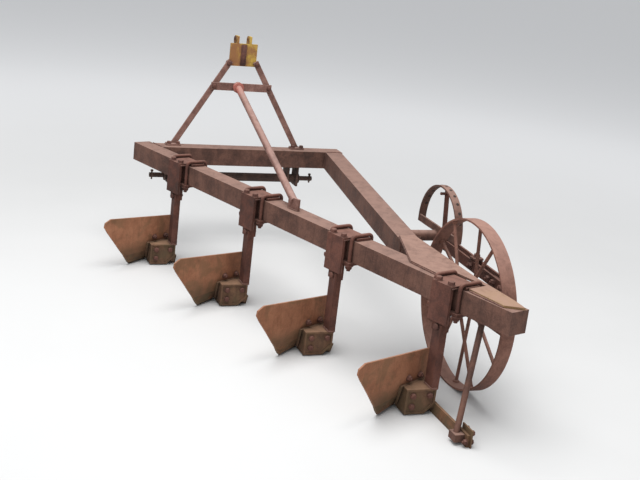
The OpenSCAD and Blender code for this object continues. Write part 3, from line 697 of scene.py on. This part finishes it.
def make_landside_fittings():
    heads, bolts = Shape(51), Shape(52)
    for i in range(BODIES):
        for x, z in WALL_BOLTS:
            place = Vector((x, WALL_HEAD_SUNK, z))
            heads.turned(by_body(i, *place), -ACROSS, WALL_HEAD, 18)
            bolts.nut(by_body(i, *(place + WALL_NUT_STEP)), ACROSS, M14)
    for x, z in HEEL_BOLTS:
        bolts.hexagon(by_body(BODIES - 1, x, HEEL_FACE, z), -ACROSS, *HEAD_20)
    x, z = HEEL_BOLTS[0]
    bolts.nut(by_body(BODIES - 1, x, HEEL_BACK, z), ACROSS, M13)
    heads.make("wall_heads", "share_rust")
    bolts.make("heel_bolts", "bolt_rust")


# Frame welds. Where the front crossbeam meets the main beam: distances along the beam, and its right face
CROSS_ENDS = (-0.3629, -0.4683)
CROSS_Y = -0.051
# Where the side beam meets the crossbeam, and the rear bar's upright face: x, ends of the level and upright beads
SIDE_JOINT = (0.3595, (-1.035, -0.939))
SIDE_JOINT_UP = (0.3592, (-1.0372, -0.9370))
REAR_JOINT = (-1.390, (-0.7545, -0.655))
REAR_JOINT_UP = (-1.390, (-0.7552, -0.6545))


def make_frame_welds():
    w = Shape(61)
    for z in (BEAM_TOP + BEAD_LIFT / 2, BEAM_UNDER - BEAD_LIFT / 2):
        w.weld([by_beam(s, 0, CROSS_Y, z) for s in CROSS_ENDS])
        w.weld([at(SIDE_JOINT[0], y, z) for y in SIDE_JOINT[1]])
        w.weld([at(REAR_JOINT[0], y, z) for y in REAR_JOINT[1]], BEAD_PLAIN)
    for s in CROSS_ENDS:
        w.weld([by_beam(s, 0, CROSS_Y, z) for z in (BEAM_UNDER, BEAM_TOP)])
    for (x, places), bead in ((SIDE_JOINT_UP, BEAD), (REAR_JOINT_UP, BEAD_PLAIN)):
        for y in places:
            w.weld([at(x, y, z) for z in (BEAM_UNDER, BEAM_TOP)], bead)
    w.make("frame_welds", "weld_rust")


# Tail plate welds. Points on the rear bar (x, y), then points by the last body (along the beam, off its middle)
TAIL_BAR = ((-1.330, -0.7465), (-1.330, -0.671))
TAIL_LEFT_AHEAD = ((-0.280, 0.008), (-0.098, 0.020))
TAIL_LEFT_BEHIND = ((0.098, 0.033), (0.294, 0.040))
TAIL_RIGHT = (-0.150, -0.110)
# Height of these welds above the beam
TAIL_RISE = 0.002


def make_tail_welds():
    w = Shape(62)
    last = (BODIES - 1) * BODY_PITCH
    z = BEAM_TOP + TAIL_RISE
    bar = [at(x, y, z) for x, y in TAIL_BAR]
    w.weld(bar + [by_beam(last + s, 0, y, z) for s, y in TAIL_LEFT_AHEAD], BEAD_PLAIN)
    w.weld([by_beam(last + s, 0, y, z) for s, y in TAIL_LEFT_BEHIND], BEAD_PLAIN)
    w.weld([bar[0], by_beam(last + TAIL_RIGHT[0], 0, TAIL_RIGHT[1], z)], BEAD_PLAIN)
    w.make("tail_welds", "weld_rust")


# Headstock: half width of the mast at its foot and at its head, at two heights
MAST_LOW, MAST_HIGH = 0.550, 1.075
MAST_FOOT, MAST_HEAD = 0.392, 0.075
CROSSBAR_Z = 0.925
BRACKET_BOLT_Z = 1.060
# Outer faces of a mast leg and of a flat bar lapped on it, off the leg's middle
MAST_FACE = 0.006
LAPPED_FACE = 0.0183
# Foot plates: off the middle, top above the beam, bolts (back, to each side)
FOOT_OFF = 0.380
FOOT_TOP = 0.010
FOOT_BOLT = (-0.021, 0.027)
# Welds round a mast leg's foot and round a foot plate: half sizes, and the plate's ends
FOOT_WELD = (0.007, 0.019)
PLATE_WELD_X = (-0.036, 0.016)
PLATE_WELD_Y = 0.041
# Ears of the top link: off the middle, pin ahead and height, washer (inner, outer, height)
EAR_OFF = 0.044
TOP_PIN = (0.050, 1.190)
TOP_WASHER = (0.0135, 0.0230, 0.003)
EAR_WELD = (0.0185, 1.050, 1.170)
# Web plate of the bracket: ahead, height, size, chamfer
BRACKET_WEB = (0.0038, 1.110)
BRACKET_WEB_SIZE = (0.034, 0.122, 0.005)
BRACKET_WEB_CUT = 0.0015
# Foot of the stay on the main beam: place, half length and half thickness of its plate
STAY_FOOT = (0.940, 0.039, 0.0065)
# Weld ring of the stay's upper end: back, off the middle, radius
STAY_HEAD = (-0.0195, 0.025, 0.030)


def mast_point(side, z, x):
    share = (z - MAST_LOW) / (MAST_HIGH - MAST_LOW)
    return at(HITCH_X + x, HITCH_Y + side * (MAST_FOOT + share * (MAST_HEAD - MAST_FOOT)), z)


def rectangle(x, y, z, xs, ys):
    """Corners of a level rectangle round a place, back at the first."""
    corners = [at(x + dx, y + dy, z) for dx, dy in ((xs[0], ys[0]), (xs[1], ys[0]), (xs[1], ys[1]), (xs[0], ys[1]))]
    return corners + corners[:1]


def make_headstock_fittings():
    bolts, welds = Shape(71), Shape(72)
    for side in (-1, 1):
        y = HITCH_Y + side * FOOT_OFF
        for dy in (-FOOT_BOLT[1], FOOT_BOLT[1]):
            bolts.hexagon(at(HITCH_X + FOOT_BOLT[0], y + dy, BEAM_TOP + FOOT_TOP), UP, *HEAD_22)
        z = BEAM_TOP + FOOT_TOP + BEAD_LIFT
        foot = mast_point(side, z, 0).y - ORIGIN.y
        half_x, half_y = FOOT_WELD
        welds.weld(rectangle(HITCH_X, foot, z, (-half_x, half_x), (-half_y, half_y)), BEAD_PLAIN)
        welds.weld(rectangle(HITCH_X, y, BEAM_TOP + BEAD_LIFT, PLATE_WELD_X, (-PLATE_WELD_Y, PLATE_WELD_Y)), BEAD_PLAIN)
        bolts.hexagon(mast_point(side, CROSSBAR_Z, -LAPPED_FACE), REARWARD, *HEAD_22)
        bolts.nut(mast_point(side, CROSSBAR_Z, MAST_FACE), FORWARD, M14)
        bolts.hexagon(mast_point(side, BRACKET_BOLT_Z, -MAST_FACE), REARWARD, *HEAD_22)
        bolts.nut(mast_point(side, BRACKET_BOLT_Z, LAPPED_FACE), FORWARD, M14)
        ear = HITCH_Y + side * EAR_OFF
        bolts.washer(at(HITCH_X + TOP_PIN[0], ear, TOP_PIN[1]), side * ACROSS, *TOP_WASHER)
        welds.weld([at(HITCH_X + EAR_WELD[0], ear, z) for z in EAR_WELD[1:]], BEAD_FINE)
    bolts.block(at(HITCH_X + BRACKET_WEB[0], HITCH_Y, BRACKET_WEB[1]), ACROSS, UP, BRACKET_WEB_SIZE, BRACKET_WEB_CUT)
    bolts.make("mast_bolts", "bolt_rust")
    foot, half_x, half_y = STAY_FOOT
    for side in (-1, 1):
        welds.weld([by_beam(foot, x, side * half_y, BEAM_TOP + BEAD_LIFT) for x in (-half_x, half_x)], BEAD)
    back, off, radius = STAY_HEAD
    welds.round_weld(at(HITCH_X + back, HITCH_Y + off, CROSSBAR_Z), FORWARD, radius, BEAD_FINE)
    welds.make("mast_welds", "weld_rust")


# Lower hitch: shoulder and pin, linch pin back from the pin's end
SHOULDER = 0.4125
PIN_LENGTH = 0.090
LINCH_BACK = 0.014
SHOULDER_WASHER = (0.0145, 0.030, 0.004)
# Linch pin: below and above the shaft's axis, radius, head rows from a height, ring radius and wire
LINCH_PIN = (0.026, 0.022, 0.0048)
LINCH_HEAD = ((0.006, 0), (0.0085, 0.002), (0.0085, 0.009), (0.006, 0.011))
LINCH_HEAD_Z = 0.020
LINCH_RING = (0.0235, 0.0018)
LINCH_RING_OFF = Vector((-0.004, 0, 0.006))
LINCH_RING_AXIS = Vector((0.12, 1, 0))
# Hitch brackets: outer cheek in from the shoulder, inner cheek further in, half length of their welds
CHEEK_IN = 0.012
CHEEK_APART = 0.070
CHEEK_WELD = 0.045
CHEEK_COLLAR = (0.0255, 0.034, 0.010)


def make_hitch_fittings():
    steel, welds = Shape(81), Shape(82)
    for side in (-1, 1):
        out = side * ACROSS
        steel.washer(at(HITCH_X, HITCH_Y + side * SHOULDER, HITCH_Z), out, *SHOULDER_WASHER)
        pin = at(HITCH_X, HITCH_Y + side * (SHOULDER + PIN_LENGTH - LINCH_BACK), HITCH_Z)
        below, above, radius = LINCH_PIN
        steel.rod(pin - UP * below, pin + UP * above, radius, 12)
        steel.turned(pin + UP * LINCH_HEAD_Z, UP, LINCH_HEAD, 14)
        steel.ring(pin + LINCH_RING_OFF, LINCH_RING_AXIS, *LINCH_RING, 32)
        cheeks = (SHOULDER - CHEEK_IN, SHOULDER - CHEEK_IN - CHEEK_APART)
        for cheek in cheeks:
            y = HITCH_Y + side * cheek
            welds.weld([at(HITCH_X + x, y, BEAM_UNDER - BEAD_LIFT) for x in (-CHEEK_WELD, CHEEK_WELD)], BEAD_PLAIN)
        steel.washer(at(HITCH_X, HITCH_Y + side * cheeks[1], HITCH_Z), -out, *CHEEK_COLLAR)
    steel.make("hitch_fittings", "pin_steel")
    welds.make("hitch_welds", "weld_rust")


# Land wheel
WHEEL_AT = box_centre("wheel_hub")
RIM_R = (node_hi("wheel_rim").z - node_lo("wheel_rim").z) / 2
HUB_HALF = 0.050
HUB_R = 0.0435
SPOKES = 12
# A spoke's ends: in from the rim's outside and its lean there, out from the axis and its lean there
SPOKE_RIM = (0.0085, 0.012)
SPOKE_HUB = (HUB_R, 0.031)
RIM_COLLAR = ((0.015, 0), (0.0145, 0.003), (0.0105, 0.008), (0.0085, 0.009))
HUB_COLLAR = ((0.0125, 0), (0.012, 0.003), (0.0085, 0.006))
AXLE_WASHER = (0.0184, 0.034, 0.004)
# Split pin through the axle's end: out from the hub, half length, radius, its eye's radius and wire
SPLIT_PIN = (0.008, 0.027, 0.0035)
SPLIT_EYE = (0.0055, 0.0018)
SPLIT_EYE_OUT = 0.002
# Beads at the hub's ends: place, wire
HUB_BEAD = (0.047, 0.0022)
# Grease nipple on the hub
NIPPLE_AT = Vector((0.031, 0.0, 0.031))
NIPPLE = ((0.005, 0), (0.005, 0.005), (0.003, 0.007), (0.0035, 0.011), (0.002, 0.013))


def make_wheel_fittings():
    steel, collars = Shape(91), Shape(92)
    steel.washer(WHEEL_AT + ACROSS * HUB_HALF, ACROSS, *AXLE_WASHER)
    beyond, half, radius = SPLIT_PIN
    pin = WHEEL_AT + ACROSS * (HUB_HALF + beyond)
    steel.rod(pin - UP * half, pin + UP * half, radius, 10)
    steel.ring(pin - UP * half + ACROSS * SPLIT_EYE_OUT, FORWARD, *SPLIT_EYE, 16)
    for k in range(SPOKES):
        a = 2 * math.pi * k / SPOKES
        out = Vector((math.cos(a), 0, math.sin(a)))
        lean = 1 if k % 2 == 0 else -1
        rim = WHEEL_AT + out * (RIM_R - SPOKE_RIM[0]) + ACROSS * (lean * SPOKE_RIM[1])
        collars.turned(rim, -out, RIM_COLLAR, 16)
        hub = WHEEL_AT + out * SPOKE_HUB[0] + ACROSS * (lean * SPOKE_HUB[1])
        collars.turned(hub, out, HUB_COLLAR, 14)
    place, wire = HUB_BEAD
    for side in (-1, 1):
        collars.ring(WHEEL_AT + ACROSS * (side * place), ACROSS, HUB_R, wire, 48)
    steel.turned(WHEEL_AT + NIPPLE_AT, NIPPLE_AT, NIPPLE, 10)
    steel.make("wheel_pins", "bolt_rust", "land_wheel")
    collars.make("spoke_collars", "wheel_rust", "land_wheel")


# Wheel arm: its pivot (ahead of the axle, height), its two bars (thickness, distance apart) and how they slope
ARM_LOW = node_lo("wheel_arm")
PIVOT_AHEAD = 0.505
PIVOT_Z = 0.545
PIVOT_AT = Vector((WHEEL_AT.x + PIVOT_AHEAD, 0, PIVOT_Z))
BAR_T = 0.016
BAR_APART = 0.050
BAR_Z = 0.505
BAR_DROP = 0.015
BAR_END = PIVOT_AT.x + 0.020
# Bolts of the arm, ahead of the wheel's axle; the last also carries the grip's block
ARM_BOLTS = (-0.095, -0.024, 0.024, 0.197)
SPACER = (0.008, 0.012)
BLOCK_SIZE = (0.046, 0.050, 0.012)
BLOCK_RISE = 0.034
BLOCK_NUT_RISE = 0.040
# Cap of the pivot, proud of the arm's boss
PIVOT_CAP = ((0.016, 0), (0.016, 0.0), (0.015, 0.0003))
PIVOT_CAP_IN = 0.0005
# Grip of the lock pin: ahead of the pivot, in from the bar, height, rod and knob
GRIP_AHEAD, GRIP_IN, GRIP_Z = 0.031, 0.005, 0.745
GRIP_ROD = (0.012, 0.034, 0.007)
GRIP_KNOB = ((0.011, 0), (0.014, 0.004), (0.014, 0.016), (0.009, 0.021))
GRIP_KNOB_OUT = 0.004


def bar_z(x):
    return BAR_Z - BAR_DROP * (BAR_END - x) / (BAR_END - ARM_LOW.x)


def make_arm_fittings():
    bolts = Shape(101)
    out = -ACROSS
    face = ARM_LOW.y + BAR_T
    inner = face + BAR_APART
    middle = (face + inner) / 2
    for step in ARM_BOLTS:
        x = WHEEL_AT.x + step
        bolts.hexagon(Vector((x, face, bar_z(x))), out, *HEAD_24)
        bolts.nut(Vector((x, inner, bar_z(x))), -out, M16)
    cut, radius = SPACER
    bolts.rod(Vector((x, face + cut, bar_z(x))), Vector((x, inner - cut, bar_z(x))), radius)
    bolts.block(Vector((x, middle, bar_z(x) + BLOCK_RISE)), FORWARD, ACROSS, BLOCK_SIZE)
    bolts.nut(Vector((x, middle, bar_z(x) + BLOCK_NUT_RISE)), UP, M16)
    bolts.turned(Vector((PIVOT_AT.x, ARM_LOW.y + PIVOT_CAP_IN, PIVOT_AT.z)), out, PIVOT_CAP, 20)
    grip = Vector((PIVOT_AT.x + GRIP_AHEAD, inner - GRIP_IN, GRIP_Z))
    before, behind, radius = GRIP_ROD
    bolts.rod(grip + out * before, grip - out * behind, radius)
    bolts.turned(grip + out * GRIP_KNOB_OUT, out, GRIP_KNOB, 16)
    bolts.make("arm_bolts", "bolt_rust", "wheel_swing_arm")


# Quadrant: its arch's centre (in from the outer face, height), radii of its faces, and the dark discs of painted shade
# that stand for its holes (first angle, step, count)
QUAD_HALF = 0.024
QUAD_Z = 0.590
QUAD_OUTER, QUAD_INNER = 0.1985, 0.1935
QUAD_HOLE_SHADES = (20, 14, 11)
HOLE_SHADE_DISC = ((0.0075, 0), (0.0075, 0.0019), (0.0068, 0.0021))
# Weld of the arch's strip on the tube: arc (first angle, step, points), and both its edges from the outer face
TUBE_R = 0.0265
TUBE_ARC = (48, 12, 8)
TUBE_WELD_Y = (0.001, -0.011)
# Weld of the tube on the side beam: outer face, upright beads (ahead of the tube's axis, off the face), length
SIDE_FACE_Y = -0.783
TUBE_BEADS = ((-0.034, 0.0055), (0.034, -0.0055))
TUBE_BEAD_LENGTH = 0.062


def make_quadrant_fittings():
    hole_shades, welds = Shape(111), Shape(112)
    quad = node_hi("depth_quadrant").y
    centre = Vector((PIVOT_AT.x, quad - QUAD_HALF, QUAD_Z))
    first, step, count = QUAD_HOLE_SHADES
    # Near-black discs on both faces: painted shade where the holes are
    for k in range(count):
        a = math.radians(first + step * k)
        out = Vector((math.cos(a), 0, math.sin(a)))
        hole_shades.turned(centre + out * QUAD_OUTER, out, HOLE_SHADE_DISC, 16)
        hole_shades.turned(centre + out * QUAD_INNER, -out, HOLE_SHADE_DISC, 16)
    hole_shades.make("quadrant_hole_shade", "mark_dark")
    first, step, count = TUBE_ARC
    arc = [math.radians(first + step * k) for k in range(count)]
    for dy in TUBE_WELD_Y:
        welds.weld([PIVOT_AT + Vector((TUBE_R * math.cos(a), quad + dy, TUBE_R * math.sin(a))) for a in arc],
                   BEAD_PLAIN)
    face = at(0, SIDE_FACE_Y, 0).y
    for x, dy in TUBE_BEADS:
        edge = Vector((PIVOT_AT.x + x, face + dy, PIVOT_AT.z))
        welds.weld([edge - UP * TUBE_BEAD_LENGTH, edge], BEAD_PLAIN)
    welds.make("quadrant_welds", "weld_rust")


for number in range(BODIES):
    make_body_bolts(number)
    make_leg_fittings(number)
make_landside_fittings()
make_frame_welds()
make_tail_welds()
make_headstock_fittings()
make_hitch_fittings()
make_wheel_fittings()
make_arm_fittings()
make_quadrant_fittings()


# Floor: grey under the plough, paler from a near to a far distance
FLOOR_GREY = (0.60, 0.60, 0.595)
FLOOR_PALE = (0.97, 0.97, 0.97)
FLOOR_NEAR = 2.2
FLOOR_FAR = 7.0
# Its mottling: darkest share of the grey and scale; its roughness and the scale of its grain
FLOOR_DARK = 0.97
FLOOR_MOTTLE = 0.9
FLOOR_ROUGH = 0.85
FLOOR_GRAIN = 60.0
FLOOR_HALF = 30.0
FLOOR_DROP = 0.0005

# Light: the sky's colour and strength, then each panel's name, place, aim, size and watts
SKY_COLOUR = (0.95, 0.97, 1.0, 1.0)
SKY_STRENGTH = 0.55
PANELS = (
    ("sky_panel", (-0.5, 0.6, 5.5), (0.0, 0.0, 0.3), (5.0, 5.0), 420.0),
    ("side_panel", (-5.5, 4.0, 3.0), (0.0, 0.0, 0.4), (3.0, 2.5), 90.0),
)


def make_floor():
    mesh = bpy.data.meshes.new("floor")
    h = FLOOR_HALF
    mesh.from_pydata([(-h, -h, 0), (h, -h, 0), (h, h, 0), (-h, h, 0)], [], [(0, 1, 2, 3)])
    floor = bpy.data.objects.new("floor", mesh)
    floor.location.z = -FLOOR_DROP
    bpy.context.scene.collection.objects.link(floor)
    g = Graph("floor_paint")
    darker = tuple(FLOOR_DARK * c for c in FLOOR_GREY)
    colour = g.ramp(g.noise(FLOOR_MOTTLE, 4, 0.55), [(0.3, darker), (0.7, FLOOR_GREY)])
    away = g.node("ShaderNodeVectorMath", operation="LENGTH")
    g.link(g.place, away.inputs[0])
    colour = g.blend(g.span(away.outputs["Value"], FLOOR_NEAR, FLOOR_FAR), colour, FLOOR_PALE)
    mesh.materials.append(g.finish(colour, FLOOR_ROUGH, g.bump(g.noise(FLOOR_GRAIN), 0.05, 0.001)))


def make_world():
    world = bpy.data.worlds.new("studio")
    bpy.context.scene.world = world
    world.use_nodes = True
    back = world.node_tree.nodes["Background"]
    back.inputs["Color"].default_value = SKY_COLOUR
    back.inputs["Strength"].default_value = SKY_STRENGTH


def make_area(name, place, aim, size, watts):
    data = bpy.data.lights.new(name, "AREA")
    data.shape = "RECTANGLE"
    data.size, data.size_y = size
    data.energy = watts
    lamp = bpy.data.objects.new(name, data)
    lamp.location = place
    lamp.rotation_euler = (Vector(aim) - Vector(place)).to_track_quat("-Z", "Y").to_euler()
    bpy.context.scene.collection.objects.link(lamp)


def make_camera():
    data = bpy.data.cameras.new("camera")
    data.lens = CAMERA_LENS
    camera = bpy.data.objects.new("camera", data)
    heading, fall, lean = (math.radians(a) for a in (CAMERA_HEADING, CAMERA_FALL, CAMERA_LEAN))
    forward = Vector((math.cos(fall) * math.cos(heading), math.cos(fall) * math.sin(heading), -math.sin(fall)))
    level = Vector((math.sin(heading), -math.cos(heading), 0.0))
    rise = level.cross(forward)
    up = math.cos(lean) * rise - math.sin(lean) * level
    right = math.cos(lean) * level + math.sin(lean) * rise
    turn = Matrix((right, up, -forward)).transposed()
    camera.matrix_world = Matrix.Translation(CAMERA_AT) @ turn.to_4x4()
    bpy.context.scene.collection.objects.link(camera)
    bpy.context.scene.camera = camera


make_floor()
make_world()
for panel in PANELS:
    make_area(*panel)
make_camera()
bpy.context.scene.view_settings.view_transform = "Standard"
